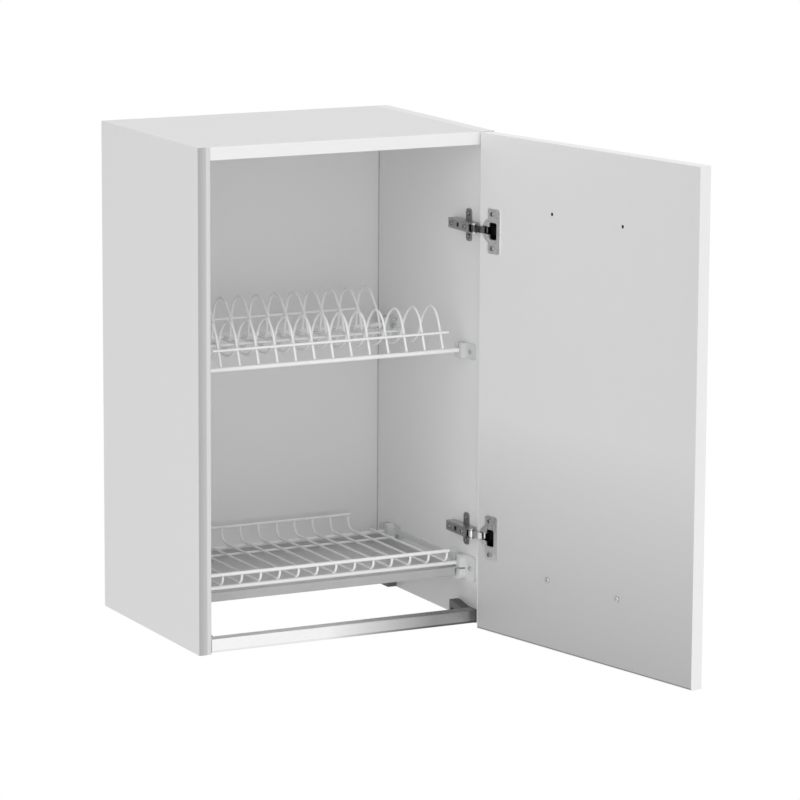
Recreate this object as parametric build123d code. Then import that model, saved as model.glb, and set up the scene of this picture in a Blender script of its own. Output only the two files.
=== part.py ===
from build123d import *
from math import atan, atan2, cos, degrees, hypot, radians, sin, tan
import os

# Wall-hung dish drainer cabinet with one door, two wire racks and a drip tray.
# X runs to the right, Y into the wall and Z up, in millimetres. Every function below measures
# heights from the bottom edge of the side panels. The last step moves all pieces down so that
# the origin lies on the wall plane, midway between the two hanging eyes.

# Carcass
cabinet_width = 450.0
cabinet_height = 700.0
cabinet_depth = 330.0
panel_t = 18.0
band_t = 1.0
back_t = 3.0
back_recess = 8.0
groove_depth = 6.0
groove_gap = 0.2
seat_gap = 0.3

# Top corner joints
dowel_d = 8.0
dowel_length = 30.0
dowel_in_side = 12.0
dowel_setback = 60.0
cam_d = 15.0
cam_h = 12.5
cam_reach = 34.0
cam_setback = 92.0
bolt_d = 6.0
bolt_head_d = 7.0
bolt_in_side = 11.0
bore_gap = 0.05

# Hanging plates on the rear edges of the side panels
eye_drop = 50.0
eye_inset = 14.0
eye_d = 9.0
hanger_t = 2.0
hanger_h = 46.0
hanger_overlap = 15.0
hanger_margin = 12.0
hanger_screw_pitch = 26.0
hanger_screw_edge = 5.0

# Screws
wood_screw_d = 3.5
wood_screw_length = 14.0
wood_head_d = 6.6
wood_head_h = 2.2
screw_gap = 0.05
recess_w = 0.9
recess_depth = 1.1

# Bottom rails and their end brackets
rail_h = 19.0
rail_depth = 18.0
rail_wall = 1.5
rail_corner = 1.6
rail_lift = 0.5
front_rail_setback = 6.0
rear_rail_clearance = 5.0
bracket_plate_t = 3.0
bracket_spigot = 14.0
bracket_block_w = 14.0
bracket_block_run = 38.0
bracket_rise = 4.5
bracket_chamfer = 8.0
spigot_gap = 0.2

# Door
door_t = 18.0
door_gap = 3.0
door_reveal = 2.0
door_drop = 4.0
door_open_angle = 102.0
door_extra_angle = 8.0
handle_pitch = 144.0
handle_from_edge = 97.0
handle_reach = 28.0
handle_d = 9.0
handle_bend = 13.0
handle_foot_d = 14.0
handle_foot_h = 2.5
handle_screw_d = 4.0
handle_bore_gap = 0.5
handle_thread = 9.0
handle_head_d = 8.0
handle_head_h = 2.4

# Concealed hinges
hinge_from_edge = 135.0
cup_d = 35.0
cup_rim = 4.0
cup_depth = 11.5
cup_wall = 1.1
cup_slot = 11.0
cup_mouth_h = 24.0
cup_mouth_w = 15.0
cup_bore_gap = 0.1
flange_h = 63.0
flange_w = 25.0
flange_shift = 9.0
flange_t = 1.6
flange_corner = 4.0
flange_screw_pitch = 48.0
flange_screw_shift = 6.0
arm_pin_inset = 11.0
arm_pin_setback = 4.0
arm_pin_d = 4.0
cup_pin_edge = 9.0
cup_pin_depth = 5.0
cup_pin_d = 2.4
cup_ear_t = 1.2
ear_gap = 0.3
link_swing = 24.0
link_t = 2.4
link_w = 9.0
link_boss_d = 7.6
link_eye_d = 5.0
link_over_edge = 3.4
arm_h = 14.0
arm_wall = 1.5
arm_length = 72.0
arm_stand_off = 2.5
arm_nose = 4.4
arm_slot = 6.0
arm_slot_setback = 44.0
arm_web_start = 11.0
arm_screw_setbacks = (24.0, 62.0)
plate_setback = 37.0
plate_screw_pitch = 32.0
wing_t = 2.0
wing_w = 15.0
wing_span = 46.0
rib_start = 16.0
rib_end = 68.0
rib_gap = 0.3

# Wire racks
rail_wire_d = 6.0
lip_wire_d = 5.0
thin_wire_d = 3.5
weld_gap = 0.02
rail_end_gap = 2.6
holder_back = 2.0
ear_corner = 5.0
holder_ear_t = 3.0
holder_ear_run = 22.0
divider_count = 13
inner_count = 11

# Plate rack
divider_side_margin = 36.0
plate_rack_setback = 46.0
plate_rack_rear_setback = 44.0
plate_rack_height = 386.5
tie_overhang = 11.0
end_overhang = 3.0
plate_holder_w = 12.0
plate_holder_run = 20.0
plate_holder_h = 22.0
plate_holder_corner = 2.5

# One divider of the plate rack, measured back from the front rail and up from its axis on a rack
# of the usual run; the lengths back stretch with the rack's real run
usual_run = 240.0
tie_up = 24.3
arch_lean = 21.2
arch_up = 58.8
arch_shoulder_share = 0.815
arch_crown_backs = (30.5, 44.6)
arch_neck_back = 61.8
arch_neck_share = 0.767
arch_knee_back = 72.7
arch_knee_share = 0.313
dip_backs = (88.9, 118.0)
dip_up = -2.0
crest_backs = (134.0, 149.0)
crest_up = 10.5
trough_back = 169.0
shoulder_bend = 36.0
crown_bend = 19.0
neck_bend = 50.0
knee_bend = 40.0
dip_bend = 36.0
crest_bend = 12.0
# Rear hoop of one divider
hoop_foot_back = 139.5
hoop_lean = 19.9
hoop_shoulder_up = 36.4
hoop_up = 66.0
hoop_crown_backs = (174.6, 196.5)
hoop_neck_back = 210.8
hoop_neck_up = 47.5
hoop_heel_back = 219.0
hoop_shoulder_bend = 60.0
hoop_crown_bends = (24.0, 21.0)
hoop_neck_bend = 40.0
heel_bend = 8.0
rear_tie_share = 0.62

# Glass rack
glass_side_margin = 33.0
glass_rack_setback = 46.0
glass_rack_rear_setback = 58.0
glass_rack_height = 81.0
lip_forward = 11.0
lip_up = 21.0
rear_lip_behind = 20.0
rear_lip_up = 26.0
front_lip_bend = 12.0
rear_lip_bend = 15.0
glass_tie_shares = (0.265, 0.796)
glass_holder_w = 14.0
glass_holder_run = 28.0
glass_holder_top = 13.0
glass_holder_foot = 23.0
glass_holder_corner = 8.0
lip_wall_gap = 3.0
side_bar_t = 5.0
side_bar_h = 8.0
side_bar_up = 7.0
side_bar_bite = 1.0

# Drip tray
tray_front_setback = 40.0
tray_rear_setback = 43.0
tray_wall = 1.8
tray_h = 12.8
tray_drop = 5.2
tray_flange_t = 1.6
tray_flange_bite = 5.0
tray_side_gap = 1.5
tray_corner = 4.0
groove_bite_gap = 4.0

# Derived places
half_w = cabinet_width / 2
inner_x = half_w - panel_t
front_y = -cabinet_depth
eye_height = cabinet_height - eye_drop
top_under = cabinet_height - panel_t
plate_front_y = front_y + plate_rack_setback
glass_front_y = front_y + glass_rack_setback
plate_rack_run = cabinet_depth - plate_rack_setback - plate_rack_rear_setback
glass_rack_run = cabinet_depth - glass_rack_setback - glass_rack_rear_setback
stretch = plate_rack_run / usual_run
divider_pitch = 2 * (inner_x - divider_side_margin) / (divider_count - 1)
glass_pitch = 2 * (inner_x - glass_side_margin) / (divider_count - 1)
door_inner_y = front_y - door_gap
door_edge_x = half_w - door_reveal
door_top = cabinet_height
door_bottom = -door_drop
handle_z = door_bottom + handle_from_edge
spare_hole_z = door_top - handle_from_edge
hinge_heights = {"lower": door_bottom + hinge_from_edge, "upper": door_top - hinge_from_edge}
cup_x = door_edge_x - cup_rim - cup_d / 2

# Hinge mechanism seen from above: the arm pin, the cup pin and the angle of the link
arm_pin = (inner_x - arm_pin_inset, front_y + arm_pin_setback)
cup_pin_closed = (door_edge_x - cup_pin_edge, door_inner_y - cup_pin_depth)
link_length = hypot(cup_pin_closed[0] - arm_pin[0], cup_pin_closed[1] - arm_pin[1])
link_closed_angle = degrees(atan2(cup_pin_closed[1] - arm_pin[1], cup_pin_closed[0] - arm_pin[0]))


def cup_pin_at(door_angle):
    """Where the cup pin is when the door stands door_angle degrees from closed."""
    angle = radians(link_closed_angle - link_swing * door_angle / door_open_angle)
    return (arm_pin[0] + link_length * cos(angle), arm_pin[1] + link_length * sin(angle))


cup_pin_open = cup_pin_at(door_open_angle)
door_place = (
    Pos(cup_pin_open[0], cup_pin_open[1], 0)
    * Rot(0, 0, door_open_angle)
    * Pos(-cup_pin_closed[0], -cup_pin_closed[1], 0)
)


def block(x0, x1, y0, y1, z0, z1):
    """An upright box between two corners."""
    return Pos((x0 + x1) / 2, (y0 + y1) / 2, (z0 + z1) / 2) * Box(abs(x1 - x0), abs(y1 - y0), abs(z1 - z0))


def rod(start, end, radius):
    """A round bar from one point to another."""
    way = Vector(*end) - Vector(*start)
    return Plane(origin=start, z_dir=way) * Cylinder(radius, way.length, align=(Align.CENTER, Align.CENTER, Align.MIN))


def facing(point, direction):
    """A place whose own Z axis looks along direction."""
    return Plane(origin=point, z_dir=direction).location


def wood_screw(length=wood_screw_length):
    """A pan head screw whose head stands on the plane Z = 0 and whose shank runs down."""
    shank = Cylinder(wood_screw_d / 2, length, align=(Align.CENTER, Align.CENTER, Align.MAX))
    head = Cylinder(wood_head_d / 2, wood_head_h, align=(Align.CENTER, Align.CENTER, Align.MIN))
    head = fillet(head.edges().group_by(Axis.Z)[-1], wood_head_h * 0.45)
    return shank + head - cross_recess(wood_head_d * 0.55, wood_head_h)


def cross_recess(span, top):
    """The cross in a screw head whose top is at height top."""
    low = top - recess_depth
    arm = block(-span / 2, span / 2, -recess_w / 2, recess_w / 2, low, top + 1)
    return arm + Rot(0, 0, 90) * arm


def screw_bore(length=wood_screw_length):
    """The hole for a screw's shank, with a little room round it and at its tip."""
    return Cylinder(wood_screw_d / 2 + screw_gap, length + seat_gap, align=(Align.CENTER, Align.CENTER, Align.MAX))


def mirrored(shape):
    """The same piece on the other side of the cabinet."""
    return mirror(shape, about=Plane.YZ)


def hanger_screw_places():
    """The two hanging plate screws, near the plate's outer end, in the right panel's rear edge."""
    x = inner_x + hanger_overlap - hanger_screw_edge
    return [facing((x, 0, eye_height + k * hanger_screw_pitch / 2), (0, 1, 0)) for k in (-1, 1)]


def hanger_screw():
    """A countersunk screw whose head lies flush in the hanging plate."""
    head = Cone(wood_screw_d / 2, wood_head_d / 2, hanger_t - 0.2, align=(Align.CENTER, Align.CENTER, Align.MAX))
    shank = Cylinder(wood_screw_d / 2, wood_screw_length + hanger_t, align=(Align.CENTER, Align.CENTER, Align.MAX))
    return shank + head - cross_recess(wood_head_d * 0.5, 0)


def hanger_countersink():
    """The seat for a countersunk head in the hanging plate."""
    head = Cone(
        wood_screw_d / 2 + screw_gap, wood_head_d / 2 + screw_gap, hanger_t - 0.2,
        align=(Align.CENTER, Align.CENTER, Align.MAX),
    )
    return head + Cylinder(wood_screw_d / 2 + screw_gap, hanger_t * 3)


def hanger_plate():
    """The right hanging plate: it is let into the side panel's rear edge and its eye stands behind the back."""
    x0 = inner_x - eye_inset - hanger_margin
    x1 = inner_x + hanger_overlap
    z0 = eye_height - hanger_h / 2
    z1 = eye_height + hanger_h / 2
    plate = block(x0, x1, -hanger_t, 0, z0, z1)
    plate = fillet(plate.edges().filter_by(Axis.Y), 5)
    plate -= rod((inner_x - eye_inset, -hanger_t - 1, eye_height), (inner_x - eye_inset, 1, eye_height), eye_d / 2)
    for place in hanger_screw_places():
        plate -= place * hanger_countersink()
    return plate


def hanger_pocket():
    """What the hanging plate takes out of the right panel's rear edge."""
    z0 = eye_height - hanger_h / 2 - seat_gap
    z1 = eye_height + hanger_h / 2 + seat_gap
    return block(inner_x - 1, inner_x + hanger_overlap + seat_gap, -hanger_t, 1, z0, z1)


def plate_screw_places():
    """The mounting plate screws on the right panel."""
    return [
        facing((inner_x - wing_t, front_y + plate_setback, z + k * plate_screw_pitch / 2), (-1, 0, 0))
        for z in hinge_heights.values()
        for k in (-1, 1)
    ]


def plate_holder_spots():
    """Rail centres, (y, z), that the plate rack's holders carry."""
    return {
        "front": (plate_front_y, plate_rack_height),
        "rear": (plate_front_y + plate_rack_run, plate_rack_height),
    }


def glass_holder_spots():
    """Rail centres, (y, z), that the glass rack's holders carry."""
    return {
        "front": (glass_front_y, glass_rack_height),
        "rear": (glass_front_y + glass_rack_run, glass_rack_height),
    }


def holder_spans():
    """The four right-hand rack holders: rail centre, length along the wall, lowest and highest point."""
    plate = [
        (y, z, plate_holder_run, z - plate_holder_h / 2, z + plate_holder_h / 2)
        for y, z in plate_holder_spots().values()
    ]
    glass = [
        (y, z, glass_holder_run, z - glass_holder_foot, z + glass_holder_top)
        for y, z in glass_holder_spots().values()
    ]
    return plate + glass


def holder_screw_places():
    """The screws in the ears of the four right-hand rack holders."""
    return [
        facing((inner_x - holder_ear_t, y - run / 2 - holder_ear_run / 2, (low + high) / 2), (-1, 0, 0))
        for y, z, run, low, high in holder_spans()
    ]


def rail_rear_y():
    """The middle of the rear rail."""
    return -(back_recess + back_t + rear_rail_clearance + rail_depth / 2)


def rail_front_y():
    """The middle of the front rail."""
    return front_y + front_rail_setback + rail_depth / 2


def bracket_screw_places():
    """The screws of the two right-hand rail brackets: they stand in each bracket's block."""
    places = []
    for y, way in ((rail_front_y(), 1), (rail_rear_y(), -1)):
        for k in (0.3, 0.75):
            at_y = y + way * (rail_depth / 2 + 1 + bracket_block_run * k)
            places.append(facing((inner_x - bracket_plate_t, at_y, rail_lift + rail_h / 2), (-1, 0, 0)))
    return places


def joint_setbacks(setback):
    """One joint near the front and one near the rear, alike."""
    return (front_y + setback, -setback)


def dowels():
    """The right-hand dowels of the top panel."""
    z = cabinet_height - panel_t / 2
    return [
        rod((inner_x + dowel_in_side - dowel_length, y, z), (inner_x + dowel_in_side, y, z), dowel_d / 2)
        for y in joint_setbacks(dowel_setback)
    ]


def dowel_bores():
    """The holes that take the right-hand dowels, in the side and in the top."""
    z = cabinet_height - panel_t / 2
    return [
        rod(
            (inner_x + dowel_in_side - dowel_length - 1, y, z), (inner_x + dowel_in_side + seat_gap, y, z),
            dowel_d / 2 + bore_gap,
        )
        for y in joint_setbacks(dowel_setback)
    ]


def cam_bolts():
    """The right-hand bolts that the cams pull on."""
    z = cabinet_height - panel_t / 2
    bolts = []
    for y in joint_setbacks(cam_setback):
        shaft = rod((inner_x - cam_reach, y, z), (inner_x + bolt_in_side, y, z), bolt_d / 2)
        head = rod((inner_x - cam_reach - 1.5, y, z), (inner_x - cam_reach + 1.5, y, z), bolt_head_d / 2)
        bolts.append(shaft + head)
    return bolts


def cam_bolt_bores(margin):
    """The room round the right-hand bolts."""
    z = cabinet_height - panel_t / 2
    return [
        rod((inner_x - cam_reach - 2, y, z), (inner_x + bolt_in_side + seat_gap, y, z), margin)
        for y in joint_setbacks(cam_setback)
    ]


def cam_locks():
    """The right-hand cams, let into the underside of the top panel."""
    locks = []
    z = cabinet_height - panel_t / 2
    for y in joint_setbacks(cam_setback):
        body = Pos(inner_x - cam_reach, y, top_under) * Cylinder(
            cam_d / 2, cam_h, align=(Align.CENTER, Align.CENTER, Align.MIN)
        )
        throat = block(
            inner_x - cam_reach - bolt_head_d * 0.6, inner_x, y - bolt_head_d * 0.6, y + bolt_head_d * 0.6,
            z - bolt_head_d * 0.6, z + bolt_head_d * 0.6,
        )
        cross = Pos(inner_x - cam_reach, y, top_under) * Rot(180, 0, 0) * cross_recess(8, 0)
        locks.append(body - throat - cross)
    return locks


def cam_lock_bores():
    """The pockets for the right-hand cams."""
    return [
        Pos(inner_x - cam_reach, y, top_under - 1)
        * Cylinder(cam_d / 2 + bore_gap, cam_h + 1 + seat_gap, align=(Align.CENTER, Align.CENTER, Align.MIN))
        for y in joint_setbacks(cam_setback)
    ]


def side_panel():
    """The right side panel without its hinge holes."""
    panel = block(inner_x, half_w, front_y + band_t, 0, 0, cabinet_height)
    panel -= back_groove_side()
    panel -= hanger_pocket()
    for place in hanger_screw_places():
        panel -= place * screw_bore(wood_screw_length + hanger_t)
    for place in holder_screw_places() + bracket_screw_places():
        panel -= place * screw_bore()
    for hole in dowel_bores() + cam_bolt_bores(bolt_d / 2 + bore_gap):
        panel -= hole
    return panel


def back_groove_side():
    """The groove for the back in the right panel; it stops inside the top's thickness."""
    y0 = -(back_recess + back_t + groove_gap)
    return block(inner_x - 1, inner_x + groove_depth, y0, -(back_recess - groove_gap), -1, top_under + groove_depth)


def right_side_panel():
    """The hinge side: it also has the mounting plates' screw holes."""
    panel = side_panel()
    for place in plate_screw_places():
        panel -= place * screw_bore()
    return panel


def top_panel():
    """The top lies between the sides; the back stands in a groove in its underside."""
    panel = block(-inner_x, inner_x, front_y + band_t, 0, top_under, cabinet_height)
    y0 = -(back_recess + back_t + groove_gap)
    panel -= block(-inner_x - 1, inner_x + 1, y0, -(back_recess - groove_gap), top_under - 1, top_under + groove_depth)
    for hole in dowel_bores() + cam_bolt_bores(bolt_d / 2 + 1) + cam_lock_bores():
        panel -= hole
        panel -= mirrored(hole)
    return panel


def back_panel():
    """A thin hardboard back, held in the grooves."""
    half = inner_x + groove_depth - seat_gap
    y1 = -back_recess
    return block(-half, half, y1 - back_t, y1, rail_lift, top_under + groove_depth - seat_gap)


def edge_band_side():
    """The band on the right panel's front edge."""
    band = block(inner_x, half_w, front_y, front_y + band_t, 0, cabinet_height)
    return fillet(band.edges().filter_by(Axis.Z).group_by(Axis.Y)[0], band_t * 0.6)


def edge_band_top():
    """The band on the top panel's front edge."""
    band = block(-inner_x, inner_x, front_y, front_y + band_t, top_under, cabinet_height)
    return fillet(band.edges().filter_by(Axis.X).group_by(Axis.Y)[0], band_t * 0.6)


def rail_section(inset):
    """The bottom rail's cross-section, drawn in Y and Z, made smaller by inset."""
    corner = max(rail_corner - inset, rail_corner / 4)
    return Plane.YZ * RectangleRounded(rail_depth - 2 * inset, rail_h - 2 * inset, corner)


def bottom_rail(middle_y):
    """A hollow aluminium rail across the open bottom."""
    half = inner_x - bracket_plate_t - groove_gap
    ring = rail_section(0) - rail_section(rail_wall)
    return Pos(-half, middle_y, rail_lift + rail_h / 2) * extrude(ring, amount=2 * half, dir=(1, 0, 0))


def rail_bracket(middle_y, way):
    """The right end bracket of a rail: an end plate, a spigot in the rail and a screwed block beside it."""
    z0 = rail_lift
    z1 = rail_lift + rail_h
    near = middle_y - way * rail_depth / 2
    seat = middle_y + way * (rail_depth / 2 + 1)
    far = seat + way * bracket_block_run
    plate = block(inner_x - bracket_plate_t, inner_x, min(near, far), max(near, far), z0, z1)
    spigot = rail_section(rail_wall + spigot_gap)
    spigot = Pos(inner_x - bracket_plate_t - bracket_spigot, middle_y, (z0 + z1) / 2) * extrude(
        spigot, amount=bracket_spigot + 1, dir=(1, 0, 0)
    )
    side = Plane.YZ * make_face(
        Polyline(
            (seat, z0), (far, z0), (far, z1 + bracket_rise), (far - way * bracket_chamfer, z1 + bracket_rise),
            (seat, z1 - 1), close=True,
        )
    )
    body = Pos(inner_x - bracket_block_w, 0, 0) * extrude(side, amount=bracket_block_w, dir=(1, 0, 0))
    bracket = plate + spigot + body
    for place in bracket_screw_places():
        pocket = Cylinder(wood_head_d / 2 + 0.6, bracket_block_w, align=(Align.CENTER, Align.CENTER, Align.MIN))
        bracket -= place * (screw_bore() + pocket)
    return bracket


def rack_holder(y, z, width, run, low, high, corner):
    """A plastic block on the right panel with an open-topped seat for a rack rail and a screw ear in front."""
    body = block(inner_x - width, inner_x, y - run / 2, y + run / 2, low, high)
    body = fillet(body.edges().filter_by(Axis.X), corner)
    ear = block(inner_x - holder_ear_t, inner_x, y - run / 2 - holder_ear_run, y, low, high)
    body += fillet(ear.edges().filter_by(Axis.X).group_by(Axis.Y)[0], ear_corner)
    seat_r = rail_wire_d / 2 + seat_gap
    x1 = inner_x - holder_back
    body -= rod((inner_x - width - 1, y, z), (x1, y, z), seat_r)
    body -= block(inner_x - width - 1, x1, y - seat_r, y + seat_r, z, high + 1)
    for place in holder_screw_places():
        body -= place * screw_bore()
    return body


def plate_rack_holder(spot):
    """A right-hand holder of the plate rack."""
    y, z = plate_holder_spots()[spot]
    low, high = z - plate_holder_h / 2, z + plate_holder_h / 2
    return rack_holder(y, z, plate_holder_w, plate_holder_run, low, high, plate_holder_corner)


def tray_top():
    """The top of the tray's flange."""
    return glass_rack_height - tray_drop


def side_bar():
    """A bar on the right panel from the rear holder of the glass rack to just behind the front one."""
    front, z = glass_holder_spots()["front"]
    rear = glass_holder_spots()["rear"][0]
    y0 = front + glass_holder_run / 2 + seat_gap
    y1 = rear - glass_holder_run / 2 + side_bar_bite
    return block(inner_x - side_bar_t, inner_x, y0, y1, z + side_bar_up - side_bar_h, z + side_bar_up)


def glass_rack_holder(spot):
    """A right-hand holder of the glass rack, with a groove below the seat for the tray's flange."""
    y, z = glass_holder_spots()[spot]
    low, high = z - glass_holder_foot, z + glass_holder_top
    body = rack_holder(y, z, glass_holder_w, glass_holder_run, low, high, glass_holder_corner)
    if spot == "rear":
        body += side_bar()
    groove_x = inner_x - glass_holder_w + tray_flange_bite + groove_bite_gap
    body -= block(
        inner_x - glass_holder_w - 1, groove_x, y - glass_holder_run, y + glass_holder_run,
        tray_top() - tray_flange_t - seat_gap, tray_top() + seat_gap,
    )
    return body


def door_panel():
    """The door board in its closed place, without its edge band."""
    y0 = door_inner_y - door_t
    board = block(
        -door_edge_x + band_t, door_edge_x - band_t, y0, door_inner_y, door_bottom + band_t, door_top - band_t
    )
    for z in hinge_heights.values():
        deepest = door_inner_y - cup_depth - seat_gap
        board -= rod((cup_x, door_inner_y + 1, z), (cup_x, deepest, z), cup_d / 2 + cup_bore_gap)
    for place in cup_screw_places():
        board -= place * screw_bore()
    for z in (handle_z, spare_hole_z):
        for x in (-handle_pitch / 2, handle_pitch / 2):
            board -= rod((x, y0 - 1, z), (x, door_inner_y + 1, z), handle_screw_d / 2 + handle_bore_gap)
    return board


def door_edge_band():
    """Four strips of band round the door board."""
    y0 = door_inner_y - door_t
    strips = []
    for side in (-1, 1):
        x = side * (door_edge_x - band_t / 2)
        strips.append(block(x - band_t / 2, x + band_t / 2, y0, door_inner_y, door_bottom, door_top))
    for z in (door_bottom, door_top - band_t):
        strips.append(block(-door_edge_x + band_t, door_edge_x - band_t, y0, door_inner_y, z, z + band_t))
    return strips


def cup_screw_places():
    """The flange screws of both hinge cups on the closed door's inner face."""
    x = cup_x - flange_screw_shift
    return [
        facing((x, door_inner_y + flange_t, z + k * flange_screw_pitch / 2), (0, 1, 0))
        for z in hinge_heights.values()
        for k in (-1, 1)
    ]


def hinge_cup(z):
    """A pressed steel hinge cup with its screw flange, on the closed door."""
    y = door_inner_y
    cup = rod((cup_x, y - cup_depth, z), (cup_x, y, z), cup_d / 2)
    cup -= rod((cup_x, y - cup_depth + cup_wall, z), (cup_x, y - cup_wall, z), cup_d / 2 - cup_wall)
    flange_x = cup_x - flange_shift
    flange = block(
        flange_x - flange_w / 2, flange_x + flange_w / 2, y, y + flange_t, z - flange_h / 2, z + flange_h / 2
    )
    flange = fillet(flange.edges().filter_by(Axis.Y), flange_corner)
    cup += flange
    slot_end = cup_x + cup_d / 2 + 1
    cup -= block(cup_x, slot_end, y - cup_pin_depth - link_eye_d, y + 3, z - cup_slot / 2, z + cup_slot / 2)
    mouth = block(cup_x - cup_mouth_w, cup_x, y - 3, y + 3, z - cup_mouth_h / 2, z + cup_mouth_h / 2)
    cup -= fillet(mouth.edges().filter_by(Axis.Y), 3)
    cup -= block(cup_x - 4, cup_x + 1, y - 3, y + 3, z - cup_slot / 2, z + cup_slot / 2)
    pin_x, pin_y = cup_pin_closed
    for side in (-1, 1):
        ear_z = z + side * (link_w / 2 + ear_gap)
        ear = block(
            pin_x - cup_pin_d, cup_x + cup_d / 2, y - cup_depth, y - cup_wall, ear_z, ear_z + side * cup_ear_t
        )
        cup += ear & rod((cup_x, y - cup_depth, z), (cup_x, y, z), cup_d / 2)
    cup -= Pos(pin_x, pin_y, z) * Cylinder(cup_pin_d / 2 + bore_gap, link_w + 8)
    for place in cup_screw_places():
        cup -= place * screw_bore()
    return cup


def cup_pin(z):
    """The pin that joins a cup to its link."""
    return Pos(cup_pin_closed[0], cup_pin_closed[1], z) * Cylinder(cup_pin_d / 2, link_w + 3)


def arm_pin_solid(z):
    """The pin that joins an arm to its link."""
    return Pos(arm_pin[0], arm_pin[1], z) * Cylinder(arm_pin_d / 2, arm_h - 0.4)


def link_turned(u, w):
    """A point of the open door, u from its hinge edge and w into its inner face, seen from above."""
    closed = Location((door_edge_x - u, door_inner_y - w, 0))
    spot = (door_place * closed).position
    return (spot.X, spot.Y)


def hinge_link(z):
    """The cranked link, at rest with the door open: it steps over the door's edge into the cup."""
    points = [
        arm_pin,
        link_turned(0, -link_over_edge),
        link_turned(cup_rim + link_t / 2, -link_over_edge),
        link_turned(cup_pin_edge, -link_over_edge + link_t),
        cup_pin_open,
    ]
    strip = Circle(link_t / 2).moved(Location((points[0][0], points[0][1])))
    for a, b in zip(points, points[1:]):
        length = hypot(b[0] - a[0], b[1] - a[1])
        turn = degrees(atan2(b[1] - a[1], b[0] - a[0]))
        middle = Location(((a[0] + b[0]) / 2, (a[1] + b[1]) / 2, 0), (0, 0, turn))
        strip += SlotCenterToCenter(length, link_t).moved(middle)
    strip += Circle(link_boss_d / 2).moved(Location(arm_pin))
    strip += Circle(link_eye_d / 2).moved(Location(cup_pin_open))
    strip -= Circle(arm_pin_d / 2 + bore_gap).moved(Location(arm_pin))
    strip -= Circle(cup_pin_d / 2 + bore_gap).moved(Location(cup_pin_open))
    return extrude(Pos(0, 0, z - link_w / 2) * strip, amount=link_w)


def hinge_arm(z):
    """The channel-shaped arm over the mounting plate; its two cheeks hold the link's pin."""
    x0 = inner_x - arm_pin_inset - arm_nose
    x1 = inner_x - arm_stand_off
    y0 = front_y + arm_pin_setback
    y1 = front_y + arm_length
    arm = block(x0, x1, y0, y1, z - arm_h / 2, z + arm_h / 2)
    arm += Pos(arm_pin[0], arm_pin[1], z) * Cylinder(arm_nose, arm_h)
    arm -= block(x0 + arm_wall, x1 + 9, y0 - 9, y1 + 9, z - arm_h / 2 + arm_wall, z + arm_h / 2 - arm_wall)
    arm -= block(
        x0 - 1, x0 + 9, y0 - 9, front_y + arm_web_start, z - arm_h / 2 + arm_wall, z + arm_h / 2 - arm_wall
    )
    arm -= block(arm_pin[0] + arm_nose, x1 + 1, y0 - 9, y0 + arm_nose, z - arm_h, z + arm_h)
    y = front_y + arm_slot_setback
    arm -= block(x0 - 1, x0 + 3, y - arm_slot / 2, y + arm_slot / 2, z - arm_slot / 2, z + arm_slot / 2)
    arm -= Pos(arm_pin[0], arm_pin[1], z) * Cylinder(arm_pin_d / 2 + bore_gap, arm_h + 2)
    for place in arm_screw_places():
        arm -= place * screw_bore()
    return arm


def arm_screw_places():
    """The depth and fixing screws on the arms' outer web."""
    x = inner_x - arm_pin_inset - arm_nose
    return [
        facing((x, front_y + setback, z), (-1, 0, 0))
        for z in hinge_heights.values()
        for setback in arm_screw_setbacks
    ]


def arm_screw_length():
    """The arm's screws end in the mounting plate's rib, short of the side panel."""
    return arm_pin_inset + arm_nose - 3.5


def mounting_plate(z):
    """The cross-shaped plate on the side panel: two screwed wings and a rib inside the arm."""
    y = front_y + plate_setback
    wings = block(inner_x - wing_t, inner_x, y - wing_w / 2, y + wing_w / 2, z - wing_span / 2, z + wing_span / 2)
    wings = fillet(wings.edges().filter_by(Axis.X), wing_w * 0.35)
    rib_half = arm_h / 2 - arm_wall - rib_gap
    rib_x = inner_x - arm_pin_inset - arm_nose + arm_wall + rib_gap
    rib = block(rib_x, inner_x, front_y + rib_start, front_y + rib_end, z - rib_half, z + rib_half)
    plate = wings + rib
    for place in arm_screw_places():
        plate -= place * screw_bore(arm_screw_length())
    for place in plate_screw_places():
        plate -= place * screw_bore()
    return plate


def handle():
    """A bow handle on the closed door's outer face, with a foot at each end."""
    face_y = door_inner_y - door_t
    half = handle_pitch / 2
    reach_y = face_y - handle_reach + handle_d / 2
    path = FilletPolyline(
        (-half, face_y - 0.5, handle_z), (-half, reach_y, handle_z), (half, reach_y, handle_z),
        (half, face_y - 0.5, handle_z), radius=handle_bend,
    )
    bow = sweep(Plane(origin=path @ 0, z_dir=path % 0) * Circle(handle_d / 2), path=path)
    for x in (-half, half):
        bow += rod((x, face_y, handle_z), (x, face_y - handle_foot_h, handle_z), handle_foot_d / 2)
        bow -= rod((x, face_y + 1, handle_z), (x, face_y - handle_thread, handle_z), handle_screw_d / 2 + bore_gap)
    return bow


def handle_screws():
    """Two screws from the door's inner face into the handle's feet."""
    screws = []
    length = door_t + handle_thread - 1
    for x in (-handle_pitch / 2, handle_pitch / 2):
        shank = Cylinder(handle_screw_d / 2, length, align=(Align.CENTER, Align.CENTER, Align.MAX))
        head = Cylinder(handle_head_d / 2, handle_head_h, align=(Align.CENTER, Align.CENTER, Align.MIN))
        head = fillet(head.edges().group_by(Axis.Z)[-1], handle_head_h * 0.45)
        screw = shank + head - cross_recess(handle_head_d * 0.5, handle_head_h)
        screws.append(facing((x, door_inner_y, handle_z), (0, 1, 0)) * screw)
    return screws


def bent_wire(points, radii):
    """A thin wire bent in the middle plane through (y, z) points, with one bend radius for each corner."""
    path = FilletPolyline(*[(0, y, z) for y, z in points], radius=radii)
    return sweep(Plane(origin=path @ 0, z_dir=path % 0) * Circle(thin_wire_d / 2), path=path)


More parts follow.
